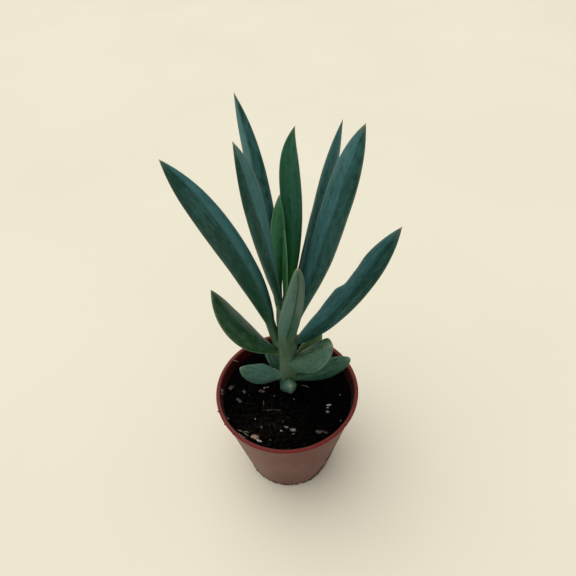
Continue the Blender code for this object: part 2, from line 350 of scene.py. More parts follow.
@dataclass(frozen=True)
class SkinFinish:
    """Waxy plant skin: green flesh under a blue-grey bloom, with pale margins and a dry point.

    The attributes of the piece say where each part of it lies: skin is the place on the unrolled
    leaf, edge and ridge are distances from the margin and from the ridge, and tip is the distance
    from the point. Streaks run along the leaf, and the bloom is rubbed off in small patches. The
    vivid green is partly the skin's own colour and partly painted light that shines through and
    lightens the shaded leaf feet, and the darkened crease beside the ridge is painted shade.
    """

    name: str
    flesh: Colour
    bloom: Colour
    # vivid: bright green at the leaf feet, partly the skin's own colour, partly painted light shining through
    # the skin and lightening the shaded feet
    vivid: Colour
    margin: Colour
    foot: Colour
    point: Colour = (0.34, 0.27, 0.17)
    roughness: float = 0.52
    rubbed_roughness: float = 0.36
    rim_width: float = 0.42
    ridge_width: float = 0.8
    streaks: float = 0.24
    mottle: float = 0.30
    rubbing: float = 0.22

    def build(self) -> bpy.types.Material:
        """Make the material."""
        sheet = NodeSheet(self.name)
        skin = sheet.attribute("skin", vector=True)
        streak = sheet.noise(sheet.scaled(skin, (0.9, 0.9, 0.03)), 1.0, 3.0)
        mottle = sheet.noise(sheet.scaled(skin, (1.0, 1.0, 0.35)), 0.9, 4.0, 0.6)
        rubbed = sheet.ease(sheet.noise(sheet.scaled(skin, (1.0, 1.0, 0.5)), 0.55, 2.0), 0.56, 0.72)
        level = sheet.calc("ADD", sheet.attribute("bloom"), sheet.ease(streak, 0.3, 0.7, 0.0, self.streaks))
        level = sheet.calc("SUBTRACT", level, 0.5 * self.streaks)
        level = sheet.calc("ADD", level, sheet.ease(mottle, 0.3, 0.7, 0.0, self.mottle))
        level = sheet.calc("SUBTRACT", level, 0.5 * self.mottle)
        level = sheet.calc("SUBTRACT", level, sheet.calc("MULTIPLY", rubbed, self.rubbing))
        colour = sheet.blend(level, self.flesh, self.bloom)
        # partly painted light: the vivid green lightens the shaded feet of the leaves
        colour = sheet.blend(sheet.attribute("vivid"), colour, self.vivid)
        colour = sheet.blend(sheet.attribute("foot"), colour, self.foot)
        colour = self.scratched(sheet, skin, colour)
        colour = self.lined(sheet, colour)
        grain = sheet.noise(sheet.scaled(skin, (3.0, 3.0, 1.4)), 2.2, 3.0)
        height = sheet.calc("ADD", sheet.calc("MULTIPLY", grain, 0.5), sheet.calc("MULTIPLY", streak, 0.5))
        sheet.set(
            Base_Color=colour,
            Roughness=sheet.ease(level, 0.0, 1.0, self.rubbed_roughness, self.roughness),
            Normal=sheet.bump(height, 0.35, 0.12),
            Specular_IOR_Level=0.10,
        )
        return sheet.material

    def scratched(
        self, sheet: NodeSheet, skin: bpy.types.NodeSocket, colour: bpy.types.NodeSocket
    ) -> bpy.types.NodeSocket:
        """Add pale scribbled scratches, the thin level lines of a noise, where scratch says."""
        tangle = sheet.noise(sheet.scaled(skin, (0.75, 0.75, 0.45)), 1.0, 2.5, 0.6)
        line = sheet.calc("MULTIPLY", sheet.ease(tangle, 0.475, 0.5), sheet.ease(tangle, 0.5, 0.525, 1.0, 0.0))
        second = sheet.noise(sheet.scaled(skin, (0.6, 0.6, 0.9)), 1.3, 2.0, 0.6)
        other = sheet.calc("MULTIPLY", sheet.ease(second, 0.48, 0.5), sheet.ease(second, 0.5, 0.52, 1.0, 0.0))
        marks = sheet.calc("MULTIPLY", sheet.calc("MAXIMUM", line, other), sheet.attribute("scratch"))
        return sheet.blend(marks, colour, self.margin)

    def lined(self, sheet: NodeSheet, colour: bpy.types.NodeSocket) -> bpy.types.NodeSocket:
        """Add the pale ridge line, the painted shade that darkens the crease beside the ridge, the pale margins
        and the dry point.
        """
        crest = sheet.attribute("crest")
        near = sheet.ease(sheet.attribute("ridge"), 0.0, self.ridge_width, 1.0, 0.0)
        colour = sheet.blend(sheet.calc("MULTIPLY", near, crest), colour, self.margin)
        # painted shade: the crease beside the ridge is darkened to the flesh colour
        colour = sheet.blend(sheet.calc("MULTIPLY", near, sheet.attribute("crease_shade")), colour, self.flesh)
        rim = sheet.ease(sheet.attribute("edge"), 0.05, self.rim_width, 1.0, 0.0)
        colour = sheet.blend(sheet.calc("MULTIPLY", rim, sheet.attribute("rim")), colour, self.margin)
        tip = sheet.attribute("tip")
        colour = sheet.blend(sheet.ease(tip, 0.5, 4.0, 0.4, 0.0), colour, self.margin)
        return sheet.blend(sheet.ease(tip, 0.4, 1.0, 1.0, 0.0), colour, self.point)


@dataclass(frozen=True)
class PotFinish:
    """Thin red plastic: satin on the lip and dulled outside by handling. Painted light makes the front left
    lighter, painted shade makes the inside darker red, and soil dirt with painted shade darkens the inside
    below the lip and the very foot.
    """

    name: str = "red_nursery_plastic"
    outside: Colour = (0.120, 0.040, 0.031)
    # grey-pink of dust and wear, also used for the painted light at the front left
    dusty_and_lit: Colour = (0.185, 0.090, 0.072)
    lip: Colour = (0.150, 0.016, 0.014)
    # painted shade: the same red plastic, made darker inside the pot
    inside: Colour = (0.050, 0.0045, 0.0035)
    # near black for soil dirt and for the painted shade inside the pot and at its foot
    dirt: Colour = (0.006, 0.004, 0.003)

    def build(self) -> bpy.types.Material:
        """Make the material, which reads the inner, lip, dust and dirt attributes of the pot, with painted
        light in the dust at the front left and painted shade in the dirt inside and at the foot.
        """
        sheet = NodeSheet(self.name)
        place = sheet.place()
        inner = sheet.attribute("inner")
        lip = sheet.attribute("lip")
        haze = sheet.ease(sheet.noise(place, 70.0, 4.0), 0.36, 0.66, 0.0, 0.45)
        # partly dust, partly painted light: the front left of the pot is made lighter
        colour = sheet.blend(sheet.calc("ADD", haze, sheet.attribute("dust_and_light")), self.outside, self.dusty_and_lit)
        scuffs = sheet.noise(sheet.scaled(place, (1.0, 1.0, 7.0)), 230.0, 2.0)
        colour = sheet.blend(sheet.ease(scuffs, 0.64, 0.76, 0.0, 0.4), colour, self.dusty_and_lit)
        colour = sheet.blend(lip, colour, self.lip)
        worn = sheet.ease(sheet.noise(place, 520.0, 3.0), 0.58, 0.72, 0.0, 0.35)
        colour = sheet.blend(sheet.calc("MULTIPLY", worn, lip), colour, self.dusty_and_lit)
        # painted shade: the inside of the pot gets the darker red
        colour = sheet.blend(inner, colour, self.inside)
        # soil stains from noise, plus the dirt value, which is partly painted shade inside and at the foot
        stain_and_shade = sheet.ease(sheet.noise(place, 520.0, 4.0), 0.35, 0.65, 0.0, 0.6)
        stain_and_shade = sheet.ease(sheet.calc("ADD", stain_and_shade, sheet.attribute("dirt")), 0.6, 1.2)
        colour = sheet.blend(stain_and_shade, colour, self.dirt)
        sheet.set(
            Base_Color=colour,
            Roughness=sheet.ease(sheet.calc("MAXIMUM", inner, lip), 0.0, 1.0, 0.5, 0.36),
            Normal=sheet.bump(sheet.noise(place, 900.0, 2.0), 0.25, 0.05),
            Specular_IOR_Level=0.12,
            Sheen_Weight=0.03,
            Sheen_Roughness=0.4,
            Sheen_Tint=(1.0, 0.93, 0.88),
        )
        return sheet.material


@dataclass(frozen=True)
class SoilFinish:
    """Moist crumbly compost: near black, with brown and grey grains."""

    name: str = "moist_compost"
    dark: Colour = (0.0012, 0.0011, 0.0010)
    brown: Colour = (0.0085, 0.0062, 0.0042)
    grey: Colour = (0.0200, 0.0160, 0.0150)

    def build(self) -> bpy.types.Material:
        """Make the material, which reads the shade attribute of the grains; on the bed and its crumbs that
        attribute carries painted light, lighter at the front left.
        """
        sheet = NodeSheet(self.name)
        place = sheet.place()
        shade = sheet.attribute("shade")
        colour = sheet.blend(sheet.ease(shade, 0.35, 0.9), self.dark, self.brown)
        colour = sheet.blend(sheet.ease(shade, 0.92, 1.0, 0.0, 0.85), colour, self.grey)
        fine = sheet.ease(sheet.noise(place, 1500.0), 0.56, 0.76, 0.0, 0.35)
        colour = sheet.blend(sheet.calc("MULTIPLY", fine, shade), colour, self.brown)
        sheet.set(
            Base_Color=colour,
            Roughness=0.9,
            Specular_IOR_Level=0.03,
            Normal=sheet.bump(sheet.noise(place, 2400.0, 3.0), 0.6, 0.15),
        )
        return sheet.material


@dataclass(frozen=True)
class ChipFinish:
    """Dry fleck, straw or grit, lighter and darker in patches."""

    name: str
    light: Colour
    dark: Colour
    roughness: float = 0.75

    def build(self) -> bpy.types.Material:
        """Make the material."""
        sheet = NodeSheet(self.name)
        place = sheet.place()
        patches = sheet.ease(sheet.noise(place, 1100.0, 3.0), 0.40, 0.60)
        sheet.set(
            Base_Color=sheet.blend(patches, self.dark, self.light),
            Roughness=self.roughness,
            Specular_IOR_Level=0.2,
            Normal=sheet.bump(sheet.noise(place, 3000.0), 0.5, 0.1),
        )
        return sheet.material


@dataclass(frozen=True)
class FloorFinish:
    """Plain pale matt table top."""

    name: str = "pale_floor"
    colour: Colour = (0.81, 0.755, 0.60)

    def build(self) -> bpy.types.Material:
        """Make the material with a very faint change of tone."""
        sheet = NodeSheet(self.name)
        tone = sheet.noise(sheet.place(), 6.0, 2.0)
        darker = tuple(0.97 * part for part in self.colour)
        colour = sheet.blend(sheet.ease(tone, 0.3, 0.7), darker, self.colour)
        sheet.set(Base_Color=colour, Roughness=0.7, Specular_IOR_Level=0.2)
        return sheet.material


class Facet(Enum):
    """The four facets of a leaf, in the order in which the section turns."""

    FACE_INNER = 0
    FACE_OUTER = 1
    BACK_OUTER = 2
    BACK_INNER = 3


class Skin(Enum):
    """The plant's skins. Each names its finish and the record's slot that it belongs to."""

    UPPER = SkinFinish(
        "upper_leaf_skin", flesh=(0.007, 0.046, 0.034), bloom=(0.064, 0.185, 0.190),
        vivid=(0.012, 0.075, 0.016), margin=(0.15, 0.21, 0.14), foot=(0.070, 0.150, 0.080),
    )
    GREEN = SkinFinish(
        "green_leaf_skin", flesh=(0.012, 0.085, 0.042), bloom=(0.060, 0.210, 0.150),
        vivid=(0.025, 0.200, 0.002), margin=(0.15, 0.22, 0.14), foot=(0.070, 0.160, 0.060),
    )
    YOUNG = SkinFinish(
        "young_leaf_skin", flesh=(0.014, 0.090, 0.034), bloom=(0.060, 0.210, 0.110),
        vivid=(0.040, 0.200, 0.012), margin=(0.13, 0.30, 0.14), foot=(0.070, 0.180, 0.060),
    )
    LOWER = SkinFinish(
        "lower_leaf_skin", flesh=(0.014, 0.056, 0.016), bloom=(0.090, 0.185, 0.155),
        vivid=(0.100, 0.190, 0.025), margin=(0.17, 0.24, 0.14), foot=(0.090, 0.150, 0.085),
    )
    STEM = SkinFinish(
        "stem_skin", flesh=(0.060, 0.115, 0.050), bloom=(0.125, 0.200, 0.135),
        vivid=(0.055, 0.105, 0.006), margin=(0.19, 0.25, 0.15), foot=(0.090, 0.150, 0.085),
    )

    @property
    def slot(self) -> str:
        """Name of the record's material slot."""
        return {"YOUNG": "young_leaf", "LOWER": "lower_leaf", "STEM": "stem"}.get(self.name, "upper_leaf")


@dataclass(frozen=True)
class Stem:
    """The round stem: a smooth profile of heights, radii and sideways leans, with leaf swellings."""

    x: float = 0.0
    y: float = 3.5
    tip: float = 91.0
    heights: tuple[float, ...] = (36.0, 41.0, 50.0, 58.0, 63.0, 72.0, 81.0, 86.5, 89.0, 90.4)
    radii: tuple[float, ...] = (2.85, 2.85, 3.0, 3.25, 3.3, 3.0, 2.65, 2.3, 1.9, 1.3)
    leans: tuple[float, ...] = (0.0, 0.0, 0.4, 0.9, 0.9, 0.5, 0.1, 0.0, 0.0, 0.0)
    rows: int = 170
    columns: int = 64
    swelling: float = 0.4
    scar_depth: float = 0.14
    green_height: float = 46.0
    green_turn: float = 275.0

    def radius(self, height: Array | float) -> Array:
        """Radius at a height, read from the profile."""
        return np.interp(height, self.heights, self.radii)

    def turned(self, height: Array, turn: Array, radius: Array) -> Array:
        """Points at a height, turn and radius about the leaning middle line."""
        x = self.x + np.interp(height, self.heights, self.leans) + radius * np.cos(turn)
        return np.stack([x, self.y + radius * np.sin(turn), height + 0.0 * turn], axis=-1)

    def build(self, leaves: "tuple[Leaf, ...]", material: bpy.types.Material) -> bpy.types.Object:
        """Make the stem.

        The radius is the profile, plus a soft swelling below and around each leaf, plus a
        little noise and a few shallow rings. The swelling falls off as a bell curve in height
        and in turn. One side near the soil is greener, as a bell curve too.

        Args:
            leaves: The leaves that grow from the stem.
            material: Its finish.

        Returns:
            The stem.
        """
        height = np.linspace(self.heights[0], self.heights[-1], self.rows)[:, None]
        turn = np.linspace(0.0, TAU, self.columns, endpoint=False)[None, :]
        radius = self.radius(height) + 0.0 * turn
        scar = np.zeros_like(radius)
        for leaf in leaves:
            rise = self.radius(leaf.height) * math.tan(math.radians(min(leaf.foot_rise, leaf.rise)))
            off_height = height - leaf.height - rise
            bell = np.exp(-((angle_between(turn, leaf.azimuth) / 0.75) ** 2) - (off_height / 2.6) ** 2)
            radius = radius + self.swelling * bell * min(1.0, leaf.width / 8.0)
            scar = np.maximum(scar, bell)
        wobble = Waves(41, 7.0).at(self.turned(height, turn, radius))
        rings = np.sin(TAU * height / 3.7 + 2.0 * np.sin(turn)) * (1.0 - scar)
        radius = radius * (1.0 + 0.025 * wobble) - self.scar_depth * smoothstep(0.8, 1.0, rings)
        points = self.turned(height, turn, radius)
        off_green = angle_between(turn, self.green_turn)
        green = np.exp(-(((height - self.green_height) / 3.4) ** 2) - (off_green / 0.6) ** 2)
        far = np.full(radius.shape, 99.0)
        none = np.zeros(radius.shape)
        values = {
            "skin": points - np.array([self.x, self.y, 0.0]),
            "bloom": 0.45 + 0.35 * scar + 0.15 * wobble - 0.5 * green,
            "vivid": np.clip(0.95 * green, 0.0, 1.0),
            "edge": far, "ridge": far, "tip": far,
            "rim": none, "crest": none, "crease_shade": none, "scratch": none, "foot": none,
        }
        low = np.array([self.x, self.y, self.heights[0]])
        stem = Surface(points, values, start=low, end=np.array([self.x, self.y, self.tip])).build("stem_fine")
        return dress(stem, material, "stem")


@dataclass(frozen=True)
class Leaf:
    """One fleshy leaf, carried along a curved middle line that starts inside the stem.

    The first fields repeat the leaf's construction: where it leaves the stem, how it turns and
    how wide and thick it is. The rest are its own looks: how far each broad side's soft ridge
    lies off the middle, how much bloom each facet keeps, partly real bloom and partly painted
    sky sheen on the facets that face the light, how green its foot is, partly its own green and
    partly painted light through the skin, and how much painted shade darkens the crease beside
    the ridge.
    """

    node: str
    height: float
    azimuth: float
    rise: float
    rise_at_tip: float
    length: float
    width: float
    thickness: float
    roll: float = 90.0
    twist: float = 0.0
    sway: float = 0.0
    neck: float = 0.05
    base_width: float = 0.45
    widest: float = 0.55
    tip_power: float = 2.2
    tip_round: float = 1.0
    base_thickness: float = 0.6
    thickest: float = 0.4
    lean: float = 0.4
    lean_power: float = 5.0
    foot_rise: float = 42.0
    foot_length: float = 4.5
    shoulder: float = 1.3
    skin: Skin = Skin.UPPER
    ridge_face: float = 0.0
    ridge_back: float = 0.0
    # bloom of each facet: partly real bloom, partly painted sky sheen on the facets that face the light
    bloom: tuple[float, float, float, float] = (0.4, 0.4, 0.4, 0.4)
    # vivid: partly the foot's own bright green, partly painted light shining through the skin where shade falls
    # between the leaves
    vivid: float = 0.3
    vivid_reach: float = 0.2
    foot: float = 0.35
    foot_reach: float = 0.12
    rims: tuple[float, float] = (0.3, 0.3)
    crest: float = 0.0
    # painted shade darkening the crease beside the ridge, from 0 to 1
    crease_shade: float = 0.0
    scratch: float = 0.0
    point: float = 1.1
    flare: float = 0.6
    notches: tuple[tuple[float, float], ...] = ()
    seed: int = 1

    ROUTE_STEPS = 240
    SIDES = 48
    TIP_RADIUS = 0.16

    def swell(self, place: Array, base: float, widest: float) -> Array:
        """Share of the full size along the leaf.

        It starts at base, rises on a sine to the power shoulder up to 1 at the widest place, and
        falls to 0 at the tip as (1 - distance^tip_power)^tip_round.
        """
        sine = np.sin(0.25 * TAU * np.clip(place / widest, 0.0, 1.0))
        rising = base + (1.0 - base) * sine**self.shoulder
        past = np.clip((place - widest) / (1.0 - widest), 0.0, 1.0)
        return np.where(place < widest, rising, (1.0 - past**self.tip_power) ** self.tip_round)

    def route(self, stem: Stem) -> tuple[Array, Array, Array, Array]:
        """Places, points, slopes and headings along the middle line.

        The slope starts at foot_rise on the stem, turns up to rise within foot_length, and
        changes evenly to rise_at_tip. The points are the sum of short steps along it.
        """
        along = np.linspace(0.0, 1.0, self.ROUTE_STEPS + 1)
        foot = min(self.rise, self.foot_rise)
        turning = np.exp(-((along * self.length / self.foot_length) ** 2))
        slope = self.rise + (self.rise_at_tip - self.rise) * along - (self.rise - foot) * turning
        slope = np.radians(slope)
        heading = np.radians(self.azimuth + self.sway * along)
        level = np.cos(slope)
        direction = np.stack([level * np.cos(heading), level * np.sin(heading), np.sin(slope)], axis=-1)
        moved = np.cumsum(0.5 * (direction[1:] + direction[:-1]) * self.length / self.ROUTE_STEPS, axis=0)
        points = np.array([stem.x, stem.y, self.height]) + np.vstack([np.zeros((1, 3)), moved])
        return along, points, slope, heading

    def axes(self, slope: Array, heading: Array, roll: Array) -> tuple[Array, Array]:
        """Directions across and through the blade, turned about its length by roll."""
        side = np.stack([-np.sin(heading), np.cos(heading), np.zeros_like(heading)], axis=-1)
        up = np.stack(
            [-np.sin(slope) * np.cos(heading), -np.sin(slope) * np.sin(heading), np.cos(slope)], axis=-1
        )
        roll = roll[:, None]
        return side * np.cos(roll) + up * np.sin(roll), up * np.cos(roll) - side * np.sin(roll)

    def sizes(self, place: Array, stem: Stem) -> tuple[Array, Array]:
        """Half width and half depth along the leaf, with the flared foot and the fine bristle.

        The flare is a bell curve where the leaf leaves the stem. The bristle is a thin round
        rod that the blade narrows to, joined as the cube root of the sum of cubes.
        """
        beyond = np.clip((place - self.neck) / (1.0 - self.neck), 0.0, 1.0)
        half_width = 0.5 * self.width * self.swell(beyond, self.base_width, self.widest)
        half_depth = 0.5 * self.thickness * self.swell(place, self.base_thickness, self.thickest)
        bristle = self.TIP_RADIUS * np.sqrt(np.clip((1.0 - place) * self.length / 0.5, 0.0, 1.0))
        half_width = (half_width**3 + bristle**3) ** (1.0 / 3.0)
        half_depth = (half_depth**3 + bristle**3) ** (1.0 / 3.0)
        leaving = stem.radius(self.height) / math.cos(math.radians(min(self.foot_rise, self.rise)))
        collar = self.flare * np.exp(-(((place * self.length - leaving + 0.4) / 1.5) ** 2))
        return half_width + 0.5 * collar, half_depth + 0.7 * collar

    def surface(self, stem: Stem) -> Surface:
        """Work out the skin of the leaf on a grid of places along and turns round it.

        Each section is a superellipse, round at the foot and rhombic further on, whose ridges
        are moved sideways by ridge * (1 - x^2). Notches move the inner margin in or out.
        """
        along, points, slope, heading = self.route(stem)
        rows = int(30 + 1.1 * self.length)
        even = np.linspace(0.0, 1.0, rows + 1)[1:-1]
        place = 0.5 - 0.5 * np.cos(0.5 * TAU * even)
        centre = np.stack([np.interp(place, along, points[:, axis]) for axis in range(3)], axis=-1)
        roll = np.radians(self.roll + self.twist * place)
        across, through = self.axes(np.interp(place, along, slope), np.interp(place, along, heading), roll)
        half_width, half_depth = self.sizes(place, stem)
        shift = 0.5 * self.lean * self.width * place**self.lean_power
        centre = centre - across * shift[:, None]
        turn = np.linspace(0.0, TAU, self.SIDES, endpoint=False)[None, :]
        power = 1.02 + 0.3 * smoothstep(0.03, 0.35, place)[:, None]
        flat = signed_power(np.cos(turn), power)
        ridge = np.where(np.sin(turn) >= 0.0, self.ridge_face, self.ridge_back)
        ridge = ridge * smoothstep(0.02, 0.3, place)[:, None]
        moved = flat + ridge * (1.0 - flat**2)
        x = half_width[:, None] * moved
        y = half_depth[:, None] * signed_power(np.sin(turn), power)
        if self.notches:
            x = x + self.notched(place)[:, None] * np.clip(flat, 0.0, 1.0) ** 3
        skin = np.stack([x, y, place[:, None] * self.length + 0.0 * x], axis=-1)
        scale = np.clip(half_depth / 2.0, 0.2, 1.0)[:, None]
        wobble = scale * Waves(self.seed, 14.0, octaves=2).at(skin + 37.0 * self.seed)
        x = x * (1.0 + 0.012 * wobble)
        y = y * (1.0 + 0.05 * wobble)
        grid = centre[:, None, :] + x[..., None] * across[:, None, :] + y[..., None] * through[:, None, :]
        end = points[-1] - across[-1] * shift[-1]
        margin = np.where(flat >= 0.0, *self.rims)
        values = {
            "skin": skin + np.array([11.0, 5.0, 97.0]) * self.seed,
            "edge": half_width[:, None] * (1.0 - np.abs(flat)) * (1.0 + ridge**2),
            "ridge": np.abs(flat) * half_width[:, None],
            "tip": np.linalg.norm(grid - end, axis=-1) / self.point,
            "bloom": self.bloom_and_sheen_at(place[:, None], turn, skin),
            "vivid": self.vivid * np.exp(-((place / self.vivid_reach) ** 2))[:, None] + 0.0 * x,
            "foot": self.foot * smoothstep(1.3, 0.7, place / self.foot_reach)[:, None] + 0.0 * x,
            "rim": margin * smoothstep(0.02, 0.15, place)[:, None],
            "crest": self.crest * smoothstep(0.1, 0.3, place)[:, None] + 0.0 * x,
            # painted shade in the crease beside the ridge
            "crease_shade": self.crease_shade * smoothstep(0.1, 0.3, place)[:, None] + 0.0 * x,
            "scratch": self.scratch * smoothstep(0.9, 0.3, np.abs(flat)) + 0.0 * x,
        }
        return Surface(grid, values, start=points[0], end=end)

    def notched(self, place: Array) -> Array:
        """How far the inner margin stands out, eased as 3t^2 - 2t^3 between the notches."""
        where, out = np.array(self.notches).T
        total = np.full(place.shape, out[0])
        for low, high, change in zip(where[:-1], where[1:], np.diff(out)):
            total = total + change * smoothstep(low, high, place)
        return total

    def bloom_and_sheen_at(self, place: Array, turn: Array, skin: Array) -> Array:
        """Bloom of the four facets, joined softly at ridges and margins: partly real bloom, partly painted sky
        sheen on the facets that face the light.
        """
        level = np.zeros((place.shape[0], turn.shape[1]))
        total = np.zeros_like(level)
        for facet in Facet:
            off = np.abs(angle_between(turn, 90.0 * facet.value + 45.0))
            share = smoothstep(0.95, 0.62, off)
            level += share * self.bloom[facet.value]
            total += share
        level = level / np.maximum(total, 1e-6)
        patches = Waves(self.seed + 90, 16.0, octaves=2).at(skin * np.array([1.0, 1.0, 0.5]))
        return level + 0.08 * patches

    def build(self, stem: Stem, material: bpy.types.Material) -> bpy.types.Object:
        """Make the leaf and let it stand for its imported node."""
        leaf = self.surface(stem).build(self.node + "_fine")
        return dress(leaf, material, self.node)


LEAVES: tuple[Leaf, ...] = (
    Leaf("leaf_far_left", 65.8, 171, 84, 52, 82.5, 10.1, 5.6, roll=98, sway=-2, neck=0.19,
         base_width=0.34, widest=0.54, tip_power=3.0, base_thickness=0.5, lean=-0.2, shoulder=0.8,
         ridge_back=0.5, bloom=(0.5, 0.5, 0.05, 0.75), vivid=0.75, vivid_reach=0.38, crease_shade=0.5,
         foot=0.95, foot_reach=0.19, rims=(0.3, 0.2), seed=2),
    Leaf("leaf_upright_left", 86.6, 247, 75, 79, 75, 8.5, 4.6, roll=87, sway=-2, base_width=0.16,
         widest=0.68, tip_power=2.1, base_thickness=0.3, lean=0.7, foot_length=3, shoulder=1.6,
         ridge_back=-0.45, bloom=(0.5, 0.4, 0.08, 0.85), vivid=0.45, vivid_reach=0.2, flare=0.2,
         rims=(0.5, 0.25), point=1.4, seed=3),
    Leaf("leaf_tallest", 80.3, 121, 86, 73, 77, 9.0, 4.6, roll=99, sway=3.5, base_width=0.3,
         widest=0.59, tip_power=2.9, base_thickness=0.3, lean=0.6, foot_length=4,
         ridge_back=0.3, bloom=(0.4, 0.4, 0.85, 0.25), flare=0.3, rims=(0.25, 0.35), seed=4),
    Leaf("leaf_inner", 87.5, 172, 89, 96, 45.0, 4.4, 2.6, roll=83, sway=-1, base_width=0.4,
         widest=0.6, tip_power=2.8, base_thickness=0.42, lean=0.1, foot_rise=58, foot_length=3,
         skin=Skin.YOUNG, bloom=(0.3, 0.3, 0.3, 0.3), vivid=0.5, vivid_reach=0.4, flare=0.2,
         rims=(0.5, 0.55), seed=5),
    Leaf("leaf_innermost", 87.5, 301, 86, 90, 34.5, 2.7, 1.6, base_width=0.5, base_thickness=0.6,
         foot_rise=60, foot_length=3, skin=Skin.YOUNG, bloom=(0.4, 0.4, 0.4, 0.4), vivid=0.8,
         vivid_reach=0.5, flare=0.1, rims=(0.9, 0.9), point=0.7, seed=6),
    Leaf("leaf_centre_back", 86.5, 61, 68, 111, 66.5, 6.4, 4.6, roll=24, sway=4.5, neck=0.03,
         base_width=0.38, widest=0.53, tip_power=3.3, base_thickness=0.3, lean=1.2, lean_power=9,
         foot_length=4, shoulder=1.2, skin=Skin.GREEN, bloom=(0.15, 0.4, 0.4, 0.4), vivid=0.9,
         vivid_reach=0.34, flare=0.2, rims=(0.25, 0.45), seed=7),
    Leaf("leaf_back_right", 79.8, 33, 67.5, 82, 71, 8.1, 4.8, roll=104, sway=0.5, base_width=0.36,
         widest=0.57, tip_power=3.0, base_thickness=0.34, lean=0.6, lean_power=8, foot_length=4,
         bloom=(0.5, 0.8, 0.5, 0.5), flare=0.3, rims=(0.3, 0.55), seed=8),
    Leaf("leaf_tall_right", 72.0, 352, 74.5, 80, 85.5, 9.7, 5.6, roll=50, sway=-1.5, neck=0.09,
         base_width=0.16, widest=0.53, tip_power=4.0, base_thickness=0.38, lean=0.4, lean_power=6,
         foot_length=4, shoulder=1.6, ridge_face=-0.3, bloom=(0.6, 0.22, 0.4, 0.4), flare=0.4,
         rims=(0.55, 0.5), seed=9),
    Leaf("leaf_right", 64.8, 6, 38, 76, 64.5, 8.9, 5.4, roll=48, twist=-7, sway=4.5, neck=0.1,
         base_width=0.22, widest=0.48, tip_power=2.9, lean=0.7, shoulder=0.6, ridge_face=-0.15,
         bloom=(0.55, 0.15, 0.4, 0.4), crease_shade=0.6, rims=(0.4, 0.45), point=1.6,
         notches=((0.3, 0.0), (0.4, 0.3), (0.48, 0.32), (0.56, -0.95), (0.66, -0.7), (0.78, 0.0)), seed=10),
    Leaf("leaf_left", 61.7, 193, 38, 86, 48, 10.1, 5.4, roll=150, sway=-1, neck=0.1, base_width=0.2,
         widest=0.46, tip_power=2.5, base_thickness=0.45, lean=0.3, lean_power=4, shoulder=1.1,
         skin=Skin.LOWER, bloom=(0.4, 0.4, 0.08, 0.35), vivid=0.2, vivid_reach=0.15,
         rims=(0.3, 0.3), foot=0.7, foot_reach=0.1, seed=11),
    Leaf("leaf_front", 69.3, 280, 72, 71, 57.5, 7.8, 6.4, roll=182, sway=21, neck=0.0,
         base_width=0.66, widest=0.46, tip_power=1.5, tip_round=0.56, base_thickness=0.45,
         thickest=0.55, lean=-0.7, skin=Skin.LOWER, ridge_face=0.35, bloom=(0.8, 0.42, 0.4, 0.4),
         vivid=0.1, crease_shade=0.9, rims=(0.4, 0.45), foot=0.5, foot_reach=0.25, point=0.8, seed=12),
    Leaf("leaf_front_right", 56.4, 324, 37, 57, 28, 10.1, 6.2, roll=39, sway=1, neck=0.08,
         base_width=0.22, widest=0.61, tip_power=2.8, tip_round=0.36, base_thickness=0.45, lean=-0.4,
         lean_power=4, shoulder=0.9, skin=Skin.LOWER, bloom=(0.35, 0.65, 0.4, 0.4), vivid=0.2,
         crest=0.2, scratch=0.8, rims=(0.3, 0.35), point=0.7, seed=13),
    Leaf("leaf_low_right", 47.7, 3, -1, 42, 26.5, 8.6, 6.0, roll=71, sway=2, neck=0.07,
         base_width=0.24, widest=0.56, tip_power=1.9, tip_round=0.58, base_thickness=0.5, lean=0.1,
         skin=Skin.LOWER, bloom=(0.4, 0.3, 0.4, 0.4), rims=(0.15, 0.2), point=0.7, seed=14),
    Leaf("leaf_low_left", 49.6, 186, 2, 38, 19.5, 9.8, 4.8, roll=105, neck=0.09, base_width=0.24,
         widest=0.51, tip_power=1.4, tip_round=0.66, base_thickness=0.45, lean=-0.2,
         skin=Skin.LOWER, bloom=(0.4, 0.4, 0.7, 0.6), vivid=0.2, rims=(0.2, 0.2), point=0.7, seed=15),
    Leaf("leaf_low_back_left", 46.6, 135, 18, 96, 17.5, 6.4, 4.2, roll=100, sway=-1, neck=0.1,
         base_width=0.26, widest=0.59, tip_power=1.8, tip_round=0.6, base_thickness=0.45, lean=0.1,
         skin=Skin.LOWER, bloom=(0.4, 0.4, 0.8, 0.45), point=0.7, seed=16),
    Leaf("leaf_low_back_right", 53.0, 25, 10, 95, 21, 8.5, 4.6, roll=83, base_width=0.3,
         tip_power=2.0, tip_round=0.6, skin=Skin.LOWER, vivid=0.9, vivid_reach=0.8, point=0.7, seed=17),
    Leaf("leaf_low_front", 43.0, 282, 50, 58, 11.5, 5.9, 5.8, base_width=0.65, tip_power=2.6,
         tip_round=0.5, base_thickness=0.65, thickest=0.55, lean=0.0, skin=Skin.LOWER,
         bloom=(0.6, 0.6, 0.6, 0.6), vivid=0.15, rims=(0.3, 0.3), point=0.6, seed=18),
)


